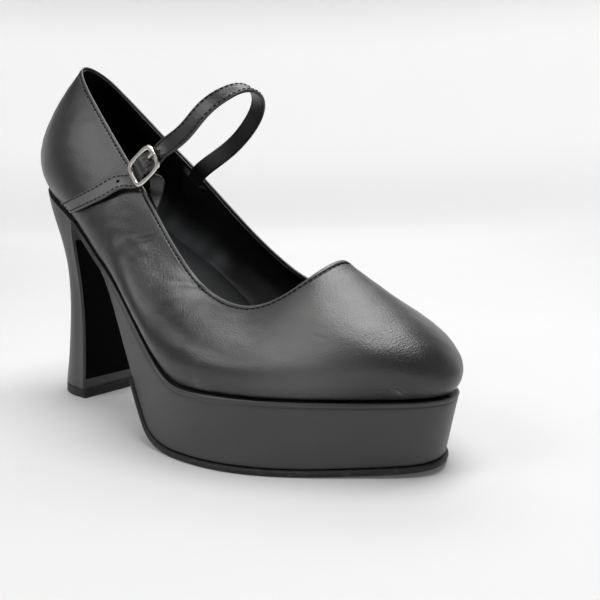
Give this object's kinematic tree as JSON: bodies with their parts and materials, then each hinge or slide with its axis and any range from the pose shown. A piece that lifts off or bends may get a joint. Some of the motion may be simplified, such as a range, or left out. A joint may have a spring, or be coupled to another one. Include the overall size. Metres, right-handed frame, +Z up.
{
  "type": "platform shoe",
  "caption": "High-heeled platform shoe with an enclosed round toe, a low-cut hollow upper and a narrow buckled strap arching over the instep.",
  "frame": {"origin": "on the floor, in the middle of the heel tip's bottom face", "axes": "+X towards the toe, +Y to the medial side, which is the wearer's left, +Z up"},
  "size_m": [0.2537, 0.0983, 0.1761],
  "materials": {
    "upper_leather": "smooth black imitation leather, satin",
    "lining": "black lining, matt",
    "wrap": "smooth black covering, satin",
    "sock": "dark padded insole, matt",
    "rubber": "black rubber, matt",
    "metal": "polished plated metal"
  },
  "bodies": {
    "root": {"upper": "upper_leather", "insole": "sock", "platform": "wrap", "outsole": "rubber", "heel": "wrap", "heel_tip": "rubber", "strap": "upper_leather", "buckle_anchor": "upper_leather", "buckle_frame": "metal", "buckle_prong": "metal"}
  },
  "joints": []
}
